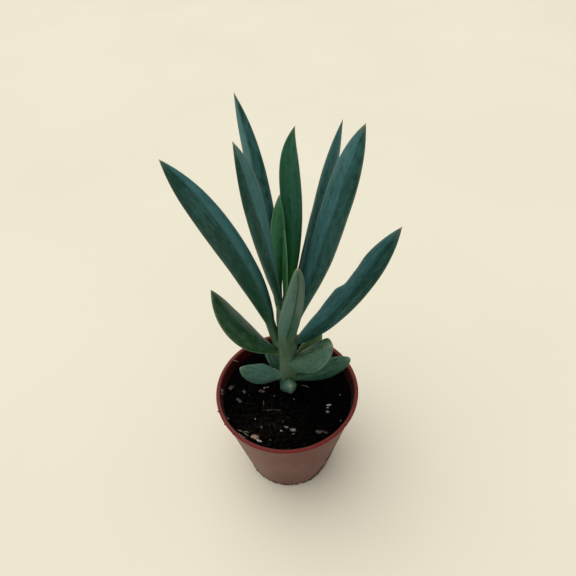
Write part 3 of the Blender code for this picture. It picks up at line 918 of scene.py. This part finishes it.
@dataclass(frozen=True)
class Pot:
    """The thin turned pot, with its rounded lip, its foot and the drain holes in its floor."""

    height: float = 46.0
    rim_radius: float = 27.5
    foot_radius: float = 18.2
    wall: float = 0.9
    floor: float = 1.2
    lip_depth: float = 1.7
    lip_out: float = 0.45
    round_radius: float = 0.62
    foot_round: float = 0.7
    holes: int = 5
    hole_radius: float = 2.2
    hole_circle: float = 12.0
    columns: int = 192
    # turn of the dust and painted light at the front left of the pot
    dust_and_light_turn: float = -128.0
    # turn where the inside is darkened least
    pale_inside_turn: float = 140.0
    streak: tuple[tuple[float, float], ...] = (
        (0.0, -62.0), (4.1, -55.0), (8.2, -47.5), (14.5, -41.0), (20.4, -39.0),
    )

    def outer(self, height: Array | float) -> Array | float:
        """Outside radius of the wall below the lip."""
        return self.foot_radius + (self.rim_radius - self.lip_out - self.foot_radius) * height / self.height

    def inner(self, height: Array | float) -> Array | float:
        """Inside radius of the wall."""
        return self.outer(height) - self.wall

    def profile(self) -> Array:
        """Radius and height from the middle of the base, over the lip, to the middle of the floor.

        Straight runs join quarter rounds at the foot, under the lip, over the lip and inside.
        """
        top = self.height
        lip_low = top - self.lip_depth
        swing = np.linspace(0.0, 1.0, 7)
        quarter = 0.25 * TAU * swing
        base = np.stack([np.linspace(0.6, self.foot_radius - self.foot_round, 12), np.zeros(12)], axis=-1)
        foot = np.stack(
            [
                self.foot_radius - self.foot_round * (1.0 - np.sin(quarter)),
                self.foot_round * (1.0 - np.cos(quarter)),
            ],
            axis=-1,
        )
        heights = np.linspace(2.0 * self.foot_round, lip_low - 0.4, 30)
        wall = np.stack([self.outer(heights), heights], axis=-1)
        under = np.stack(
            [self.outer(lip_low) + self.lip_out * smoothstep(0.0, 1.0, swing), lip_low + 0.5 * swing], axis=-1
        )
        ring = self.round_radius
        over = np.stack(
            [self.rim_radius - ring + ring * np.cos(quarter), top - ring + ring * np.sin(quarter)], axis=-1
        )
        reach = self.rim_radius - ring - self.inner(top - 0.5)
        back = np.stack(
            [
                self.rim_radius - ring - reach * np.sin(quarter[1:]),
                top - 0.5 * (1.0 - np.cos(quarter[1:])),
            ],
            axis=-1,
        )
        down = np.linspace(top - 1.2, self.floor, 24)
        inside = np.stack([self.inner(down), down], axis=-1)
        floor = np.stack([np.linspace(self.inner(self.floor) - 1.0, 0.6, 10), np.full(10, self.floor)], axis=-1)
        return np.vstack([base, foot[1:], wall, under, over, back, inside, floor])

    def surface(self) -> Surface:
        """Turn the profile about the upright axis, with a slight unroundness.

        The values say where the inside, the lip, the dust and the dirt are. Dust and painted light lie to
        the left of the front. Dirt clings to a rising streak, and dirt with painted shade darkens the very foot
        and the inside below the lip.
        """
        profile = self.profile()
        radius, height = profile[:, :1], profile[:, 1:]
        turn = np.linspace(0.0, TAU, self.columns, endpoint=False)[None, :]
        unround = 0.12 * np.sin(2.0 * turn + 0.7) + 0.05 * np.sin(3.0 * turn + 2.0)
        wide = smoothstep(0.85, 1.0, radius / self.foot_radius)
        turned = radius + unround * height / self.height * wide
        points = np.stack([turned * np.cos(turn), turned * np.sin(turn), height + 0.0 * turn], axis=-1)
        past_lip = (np.arange(len(profile)) > np.argmax(profile[:, 1]))[:, None]
        lip_low = self.height - self.lip_depth
        lip = smoothstep(lip_low - 0.1, lip_low + 0.3, height) * (1.0 - 0.4 * past_lip)
        # partly dirt, partly painted contact shadow: a dark band at the very foot
        foot = 0.9 * np.exp(-((height / 0.9) ** 2))
        streak_turn = np.interp(height, *zip(*self.streak))
        streak = 0.8 * np.exp(-((angle_between(turn, 0.0) - np.radians(streak_turn)) / 0.05) ** 2)
        streak = streak * smoothstep(22.0, 19.0, height)
        # partly soil smears, partly painted shade: the inside darkens below the lip, least at the back left
        smears_and_shade = 0.45 + 0.55 * smoothstep(0.9, 0.2, np.cos(turn - math.radians(self.pale_inside_turn)))
        inside = past_lip * smears_and_shade * smoothstep(45.2, 42.5, height)
        # partly dust, partly painted light: the front left of the pot is lighter
        dust_and_light = 0.75 * np.exp(-((angle_between(turn, self.dust_and_light_turn) / 0.55) ** 2)) + 0.0 * height
        values = {
            "inner": past_lip * smoothstep(self.height - 0.3, self.height - 1.4, height) + 0.0 * turn,
            "lip": lip + 0.0 * turn,
            "dust_and_light": dust_and_light,
            "dirt": np.clip(np.maximum(foot + streak, inside), 0.0, 1.0),
        }
        return Surface(
            points, values, start=np.array([0.0, 0.0, 0.0]), end=np.array([0.0, 0.0, self.floor])
        )

    def build(self, material: bpy.types.Material) -> bpy.types.Object:
        """Make the pot and drill its floor."""
        pot = self.surface().build("pot_fine")
        self.drill(pot)
        return dress(pot, material, "pot")

    def drill(self, pot: bpy.types.Object) -> None:
        """Cut the drain holes with round bars, then remove the bars."""
        for index in range(self.holes):
            turn = TAU * index / self.holes
            ring = np.linspace(0.0, TAU, 24, endpoint=False)[None, :]
            height = np.array([[-1.0], [self.floor + 1.0]])
            x = self.hole_circle * math.cos(turn)
            y = self.hole_circle * math.sin(turn)
            points = np.stack(
                [
                    x + self.hole_radius * np.cos(ring) + 0.0 * height,
                    y + self.hole_radius * np.sin(ring) + 0.0 * height,
                    height + 0.0 * ring,
                ],
                axis=-1,
            )
            ends = np.array([x, y, -1.0]), np.array([x, y, self.floor + 1.0])
            bar = Surface(points, start=ends[0], end=ends[1]).build("drain_bar")
            cut = pot.modifiers.new("drain", "BOOLEAN")
            cut.operation = "DIFFERENCE"
            cut.solver = "MANIFOLD"
            cut.object = bar
            bpy.context.view_layer.update()
            drilled = bpy.data.meshes.new_from_object(pot.evaluated_get(bpy.context.evaluated_depsgraph_get()))
            pot.modifiers.clear()
            pot.data = drilled
            bpy.data.objects.remove(bar, do_unlink=True)


@dataclass(frozen=True)
class SoilBed:
    """The soil: a low crown with coarse clods, covered by loose crumbs."""

    top: float = 40.6
    crown: float = 0.7
    clod_height: float = 0.75
    clod_length: float = 4.4
    rows: int = 150
    columns: int = 240
    crumbs: int = 4600
    # middle of the painted light on the soil, in millimetres
    lit_x: float = -9.0
    lit_y: float = -14.0

    def height(self, x: Array, y: Array, pot: Pot) -> Array:
        """Height of the soil: crown, long waves as in the construction, and sharp small clods."""
        reach = np.hypot(x, y) / pot.inner(self.top)
        long_waves = (
            0.5 * np.sin(0.33 * x + 0.78 * y + 0.4)
            + 0.5 * np.sin(0.77 * x - 0.16 * y + 0.4)
            + 0.6 * np.sin(0.80 * x + 1.10 * y + 1.9)
            + 0.5 * np.sin(1.30 * x - 0.90 * y + 1.6)
        )
        place = np.stack([x, y, 0.0 * x], axis=-1)
        clods = 1.0 - 2.0 * np.abs(Waves(7, self.clod_length, octaves=4, gain=0.55).at(place))
        rough = 0.5 * long_waves * (1.0 - reach**4) + self.clod_height * clods
        return self.top + self.crown * (1.0 - reach**2) + rough

    def lit(self, x: Array, y: Array) -> Array:
        """Share of painted light, shown as lighter brown grains: most at the front left, few at the right."""
        off = ((x - self.lit_x) / 15.0) ** 2 + ((y - self.lit_y) / 12.0) ** 2
        return 0.15 + 0.55 * np.exp(-off)

    def surface(self, pot: Pot) -> Surface:
        """Work out the bed on rings from the wall inwards, over a plain foot ring near the floor."""
        wall = pot.inner(self.top) - 0.02
        radius = wall * np.linspace(1.0, 0.004, self.rows)[:, None]
        turn = np.linspace(0.0, TAU, self.columns, endpoint=False)[None, :]
        x, y = radius * np.cos(turn), radius * np.sin(turn)
        z = self.height(x, y, pot)
        low = pot.floor + 0.3
        low_radius = pot.inner(low) - 0.05
        under = np.stack([low_radius * np.cos(turn), low_radius * np.sin(turn), low + 0.0 * turn], axis=-1)
        points = np.concatenate([under, np.stack([x, y, z], axis=-1)], axis=0)
        # painted light: the bed is lighter at the front left, plus random grain tone
        shade = self.lit(points[..., 0], points[..., 1]) + 0.35 * Waves(9, 2.2, octaves=4).at(points)
        return Surface(
            points,
            {"shade": np.clip(shade, 0.0, 0.85)},
            start=np.array([0.0, 0.0, low]),
            end=np.array([0.0, 0.0, z[-1].mean()]),
        )

    def build(self, pot: Pot, material: bpy.types.Material) -> list[bpy.types.Object]:
        """Make the bed and the loose crumbs on it."""
        bed = self.surface(pot).build("soil_fine")
        return [dress(bed, material, "soil"), self.scatter(pot, material)]

    def scatter(self, pot: Pot, material: bpy.types.Material) -> bpy.types.Object:
        """Strew angular crumbs over the bed, most of them small, each a crushed twenty-sided grain."""
        rng = np.random.default_rng(23)
        size = np.clip(rng.lognormal(-0.65, 0.5, self.crumbs), 0.2, 2.0)
        radius = (pot.inner(self.top) - 0.5 * size) * np.sqrt(rng.uniform(0.0, 1.0, self.crumbs))
        turn = rng.uniform(0.0, TAU, self.crumbs)
        x, y = radius * np.cos(turn), radius * np.sin(turn)
        z = self.height(x, y, pot) + 0.2 * size
        # painted light: the crumbs are lighter at the front left, plus random grain tone
        shade = np.clip(self.lit(x, y) + rng.normal(0.0, 0.30, self.crumbs), 0.0, 1.0)
        grains = Grains(rng, np.stack([x, y, z], axis=-1), size, shade)
        return dress(grains.build("soil_crumbs"), material)


class Litter(Enum):
    """Kinds of loose bits, each with its finish."""

    WHITE = ChipFinish("white_grit", (0.46, 0.43, 0.39), (0.22, 0.20, 0.18))
    BEIGE = ChipFinish("beige_bark_chip", (0.36, 0.24, 0.19), (0.15, 0.09, 0.065))
    STRAW = ChipFinish("pale_straw", (0.30, 0.23, 0.16), (0.13, 0.095, 0.06))
    GREY = ChipFinish("grey_crumb", (0.19, 0.16, 0.16), (0.07, 0.055, 0.055))
    WOOD = ChipFinish("brown_wood_bit", (0.085, 0.055, 0.045), (0.03, 0.018, 0.014))
    BURR = ChipFinish("red_plastic_burr", (0.20, 0.025, 0.022), (0.12, 0.014, 0.012), roughness=0.45)


@dataclass(frozen=True)
class Bit:
    """A loose chip or straw, whose two ends lie where the photograph shows them.

    Between its ends it is a rod with an oval section. A blunt one keeps its width almost to the
    ends, and a rough one is dented all over.
    """

    kind: Litter
    start: Pixel
    end: Pixel
    width: float
    depth: float = 0.4
    blunt: float = 3.0
    rough: float = 0.28
    bow: float = 0.0

    ROWS = 11
    SIDES = 10

    def surface(self, first: Array, last: Array, seed: int) -> Surface:
        """Work out the bit between two points that lie on what carries it.

        The half width is (1 - |2t - 1|^blunt)^0.5 of the full one, times 1 + rough * waves. The
        middle line is raised by half the depth and bowed sideways as a half sine.
        """
        along = unit(last - first)
        across = unit(np.cross([0.0, 0.0, 1.0], along))
        up = np.cross(along, across)
        share = np.linspace(0.0, 1.0, self.ROWS + 2)[1:-1, None]
        swell = (1.0 - np.abs(2.0 * share - 1.0) ** self.blunt) ** 0.5
        turn = np.linspace(0.0, TAU, self.SIDES, endpoint=False)[None, :]
        sideways = 0.5 * self.width * swell * np.cos(turn)
        upwards = 0.5 * self.depth * swell * np.sin(turn)
        middle = first + share[..., None] * (last - first) + 0.3 * self.depth * up
        middle = middle + (self.bow * np.sin(0.5 * TAU * share))[..., None] * across
        grid = middle + sideways[..., None] * across + upwards[..., None] * up
        dents = 1.0 + self.rough * Waves(seed, max(1.2, self.width), octaves=2).at(grid)[..., None]
        lift = 0.3 * self.depth * up
        return Surface(middle + (grid - middle) * dents, start=first + lift, end=last + lift)


@dataclass(frozen=True)
class Debris:
    """The loose bits on the soil, on the lip, on the wall and on one leaf, and dirt on the foot."""

    bits: tuple[Bit, ...] = (
        Bit(Litter.BEIGE, (232.0, 360.0), (238.0, 362.0), 0.9),
        Bit(Litter.GREY, (221.5, 388.5), (222.5, 395.0), 1.1, 0.7),
        Bit(Litter.WHITE, (227.3, 418.2), (229.2, 419.6), 0.5),
        Bit(Litter.STRAW, (237.5, 430.0), (248.5, 436.5), 0.34, 0.3, 9.0, 0.1, 0.35),
        Bit(Litter.STRAW, (238.5, 433.5), (246.0, 438.2), 0.30, 0.3, 9.0, 0.1, -0.2),
        Bit(Litter.STRAW, (243.0, 431.5), (249.0, 433.0), 0.26, 0.3, 9.0, 0.1, 0.2),
        Bit(Litter.BEIGE, (251.0, 436.0), (259.0, 438.5), 1.9, 0.8),
        Bit(Litter.WHITE, (256.0, 439.5), (262.0, 442.0), 0.8, 0.5),
        Bit(Litter.WOOD, (258.5, 391.0), (265.5, 392.5), 1.2, 0.7),
        Bit(Litter.BEIGE, (263.0, 388.8), (269.5, 387.0), 0.7, 0.5),
        Bit(Litter.STRAW, (301.0, 385.2), (309.5, 388.2), 0.32, 0.3, 9.0, 0.1, 0.3),
        Bit(Litter.WHITE, (325.5, 405.8), (331.5, 405.0), 0.8, 0.5),
        Bit(Litter.WHITE, (326.5, 407.0), (328.5, 408.2), 0.5, 0.4),
        Bit(Litter.GREY, (325.8, 411.5), (329.5, 412.5), 1.0, 0.6),
        Bit(Litter.GREY, (289.8, 429.8), (296.0, 430.5), 1.5, 1.0),
        Bit(Litter.GREY, (284.0, 426.8), (288.5, 428.0), 0.9, 0.6),
        Bit(Litter.WHITE, (280.5, 430.8), (283.0, 431.2), 0.5, 0.4),
        Bit(Litter.GREY, (292.0, 434.5), (295.0, 433.5), 0.7, 0.5),
        Bit(Litter.WOOD, (315.0, 431.5), (328.5, 433.5), 1.4, 0.7),
        Bit(Litter.WOOD, (263.7, 400.0), (263.7, 407.5), 0.5, 0.5, 6.0),
        Bit(Litter.WOOD, (265.0, 411.0), (282.0, 410.8), 0.55, 0.5, 6.0, 0.2, 0.3),
        Bit(Litter.WOOD, (229.0, 390.0), (234.0, 386.5), 1.6, 0.9),
        Bit(Litter.WOOD, (236.5, 399.0), (242.0, 402.5), 1.5, 0.9),
        Bit(Litter.WOOD, (243.0, 391.0), (246.5, 394.5), 1.2, 0.8),
        Bit(Litter.WHITE, (273.6, 395.8), (274.6, 396.4), 0.3),
        Bit(Litter.WHITE, (293.6, 398.8), (294.6, 399.4), 0.3),
        Bit(Litter.WHITE, (339.6, 394.8), (340.6, 395.4), 0.3),
        Bit(Litter.WHITE, (254.6, 418.8), (255.8, 419.4), 0.35),
        Bit(Litter.WHITE, (261.2, 426.4), (261.6, 428.2), 0.3),
        Bit(Litter.WHITE, (269.6, 439.8), (270.6, 440.4), 0.3),
        Bit(Litter.WHITE, (340.4, 420.8), (341.4, 421.4), 0.3),
        Bit(Litter.WHITE, (273.5, 368.4), (275.2, 369.6), 0.4, 0.15),
        Bit(Litter.BURR, (217.6, 411.2), (219.6, 412.4), 0.7, 0.5),
        Bit(Litter.BURR, (224.6, 423.4), (226.6, 425.4), 0.8, 0.5),
        Bit(Litter.BURR, (232.6, 433.2), (234.4, 435.0), 0.7, 0.5),
        Bit(Litter.WOOD, (356.9, 388.4), (358.1, 389.6), 0.6, 0.5),
    )
    grit_seed: int = 77
    streak_grit: int = 110
    foot_grit: int = 170

    def build(self, camera: "PhotoCamera", carriers: list[Array], soil: bpy.types.Material, pot: Pot) -> None:
        """Lay every bit on the surface that the photograph shows under it, one mesh for each kind.

        Args:
            camera: The photograph's camera.
            carriers: Grids of the points of the surfaces that may carry a bit.
            soil: Finish of the dirt on the pot's foot.
            pot: The pot.
        """
        places = np.vstack([grid.reshape(-1, 3) for grid in carriers])
        for kind in Litter:
            chosen = [(number, bit) for number, bit in enumerate(self.bits) if bit.kind is kind]
            surfaces = [
                bit.surface(camera.landing(bit.start, places), camera.landing(bit.end, places), number)
                for number, bit in chosen
            ]
            piece = join_surfaces(kind.value.name, surfaces)
            dress(piece, kind.value.build())
        dress(self.dirt(pot), soil)

    def dirt(self, pot: Pot) -> bpy.types.Object:
        """Stick small grains to the pot along the rising streak and round the front of the foot."""
        rng = np.random.default_rng(self.grit_seed)
        heights, turns = zip(*pot.streak)
        height = heights[-1] * rng.uniform(0.0, 1.0, self.streak_grit) ** 1.1
        turn = np.interp(height, heights, turns) + rng.normal(0.0, 1.4, self.streak_grit)
        foot_height = np.abs(rng.normal(0.0, 0.5, self.foot_grit)) + 0.15
        foot_turn = rng.uniform(-155.0, -45.0, self.foot_grit)
        height = np.concatenate([height, foot_height])
        turn = np.radians(np.concatenate([turn, foot_turn]))
        size = np.clip(rng.lognormal(-1.0, 0.45, len(height)), 0.15, 0.9)
        radius = pot.outer(height) - 0.1 * size
        height = np.maximum(height, 0.55 * size)
        centres = np.stack([radius * np.cos(turn), radius * np.sin(turn), height], axis=-1)
        return Grains(rng, centres, size, rng.uniform(0.0, 0.9, len(height))).build("pot_dirt")


@dataclass
class Grains:
    """Many small angular grains in one mesh."""

    rng: np.random.Generator
    centres: Array
    sizes: Array
    shades: Array

    def build(self, name: str) -> bpy.types.Object:
        """Place a crushed and turned twenty-sided grain at each centre.

        Every corner of the unit grain is scaled by a random share along each axis and by a
        random share of its own, then turned by a random rotation.
        """
        corners, faces = twenty_sided()
        count = len(self.centres)
        stretch = self.rng.uniform(0.55, 1.25, (count, 1, 3))
        dent = self.rng.uniform(0.7, 1.2, (count, len(corners), 1))
        turned = np.einsum("nij,nkj->nki", random_turns(self.rng, count), corners[None] * stretch * dent)
        points = self.centres[:, None, :] + 0.5 * self.sizes[:, None, None] * turned
        numbers = faces[None] + len(corners) * np.arange(count)[:, None, None]
        mesh = bpy.data.meshes.new(name)
        mesh.from_pydata((points.reshape(-1, 3) * MM).tolist(), [], numbers.reshape(-1, 3).tolist())
        store_values(mesh, "shade", np.repeat(self.shades, len(corners)))
        return link_object(name, mesh)


def twenty_sided() -> tuple[Array, Array]:
    """Corners and outward faces of an icosahedron of radius 1."""
    golden = 0.5 * (1.0 + math.sqrt(5.0))
    pairs = [(-1, golden), (1, golden), (-1, -golden), (1, -golden)]
    corners = [(a, b, 0) for a, b in pairs] + [(0, a, b) for a, b in pairs] + [(b, 0, a) for a, b in pairs]
    corners = unit(np.array(corners, float))
    faces = np.array(
        [
            (0, 11, 5), (0, 5, 1), (0, 1, 7), (0, 7, 10), (0, 10, 11),
            (1, 5, 9), (5, 11, 4), (11, 10, 2), (10, 7, 6), (7, 1, 8),
            (3, 9, 4), (3, 4, 2), (3, 2, 6), (3, 6, 8), (3, 8, 9),
            (4, 9, 5), (2, 4, 11), (6, 2, 10), (8, 6, 7), (9, 8, 1),
        ]
    )
    return corners, faces


def random_turns(rng: np.random.Generator, count: int) -> Array:
    """Evenly spread random rotation matrices, made from unit quaternions."""
    w, x, y, z = unit(rng.normal(size=(count, 4))).T
    rows = [
        [1 - 2 * (y * y + z * z), 2 * (x * y - z * w), 2 * (x * z + y * w)],
        [2 * (x * y + z * w), 1 - 2 * (x * x + z * z), 2 * (y * z - x * w)],
        [2 * (x * z - y * w), 2 * (y * z + x * w), 1 - 2 * (x * x + y * y)],
    ]
    return np.moveaxis(np.array(rows), -1, 0)


@dataclass(frozen=True)
class PhotoCamera:
    """The camera at the photograph's viewing angle, in the photograph's 576 pixel frame."""

    frame_px: float = 576.0
    focal_px: float = 500.0
    elevation: float = 44.2
    distance: float = 157.0
    roll: float = -2.08
    target: Colour = (1.8, 0.0, 99.7)
    sensor: float = 36.0
    sight_width: float = 0.35

    def axes(self) -> tuple[Array, Array, Array]:
        """Right, up and forward directions of the camera."""
        tilt = math.radians(self.elevation)
        turn = math.radians(self.roll)
        forward = np.array([0.0, math.cos(tilt), -math.sin(tilt)])
        right = np.array([1.0, 0.0, 0.0])
        up = np.cross(right, forward)
        rolled_right = right * math.cos(turn) + up * math.sin(turn)
        rolled_up = up * math.cos(turn) - right * math.sin(turn)
        return rolled_right, rolled_up, forward

    def position(self) -> Array:
        """Place of the camera in millimetres."""
        return np.array(self.target) - self.axes()[2] * self.distance

    def landing(self, pixel: Pixel, places: Array) -> Array:
        """Point of the nearest surface that the photograph shows at a pixel.

        Args:
            pixel: Place in the photograph.
            places: Points spread closely over the surfaces, in millimetres.

        Returns:
            The point of the sight line that is as deep as the surface. Of the points that lie
            close to the line, the surface is the one nearest to the camera.
        """
        right, up, forward = self.axes()
        middle = 0.5 * self.frame_px
        ray = unit(forward + (right * (pixel[0] - middle) - up * (pixel[1] - middle)) / self.focal_px)
        away = places - self.position()
        depth = away @ ray
        off = np.linalg.norm(away - depth[:, None] * ray, axis=-1)
        close = off < off.min() + self.sight_width
        return self.position() + ray * depth[close].min()

    def build(self) -> bpy.types.Object:
        """Make the camera and use it."""
        data = bpy.data.cameras.new("photo_camera")
        data.sensor_width = self.sensor
        data.lens = self.focal_px / self.frame_px * self.sensor
        data.clip_start = 0.005
        data.clip_end = 20.0
        camera = link_object("photo_camera", data)
        right, up, forward = self.axes()
        turn = Matrix((right, up, -forward)).transposed().to_4x4()
        camera.matrix_world = Matrix.Translation(Vector(self.position() * MM)) @ turn
        bpy.context.scene.camera = camera
        return camera


@dataclass(frozen=True)
class Studio:
    """Plain pale floor, an even sky and one very wide soft light from behind on the left."""

    floor_half: float = 6000.0
    sky: Colour = (0.97, 0.985, 1.0)
    sky_strength: float = 0.52
    window: Colour = (-0.34, 0.20, 1.0)
    window_width: float = 75.0
    window_strength: float = 1.95
    window_colour: Colour = (1.0, 0.985, 0.96)

    def build(self) -> None:
        """Lay the floor, set the sky and hang the light."""
        half = self.floor_half
        rows = np.linspace(-half, half, 3)
        x, y = np.meshgrid(rows, rows)
        floor = Surface(np.stack([x, y, 0.0 * x], axis=-1), wrap=False).build("floor")
        floor.data.materials.append(FloorFinish().build())
        world = bpy.data.worlds.new("soft_sky")
        world.use_nodes = True
        background = world.node_tree.nodes["Background"]
        background.inputs["Color"].default_value = (*self.sky, 1.0)
        background.inputs["Strength"].default_value = self.sky_strength
        bpy.context.scene.world = world
        data = bpy.data.lights.new("window", "SUN")
        data.energy = self.window_strength
        data.angle = math.radians(self.window_width)
        data.color = self.window_colour
        lamp = link_object("window", data)
        lamp.location = Vector(self.window)
        lamp.rotation_euler = (-lamp.location).to_track_quat("-Z", "Y").to_euler()
        bpy.context.scene.view_settings.view_transform = "Standard"


def main() -> None:
    """Build the camera, the studio and the plant in order."""
    logging.basicConfig(level=logging.INFO, format="%(name)s %(message)s")
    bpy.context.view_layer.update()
    camera = PhotoCamera()
    camera.build()
    Studio().build()
    pot, bed, stem = Pot(), SoilBed(), Stem()
    pot.build(PotFinish().build())
    compost = SoilFinish().build()
    bed.build(pot, compost)
    skins = {skin: skin.value.build() for skin in Skin}
    stem.build(LEAVES, skins[Skin.STEM])
    for leaf in LEAVES:
        leaf.build(stem, skins[leaf.skin])
    carriers = [pot.surface(), bed.surface(pot)] + [leaf.surface(stem) for leaf in LEAVES]
    Debris().build(camera, [surface.points for surface in carriers], compost, pot)


if __name__ == "__main__":
    main()
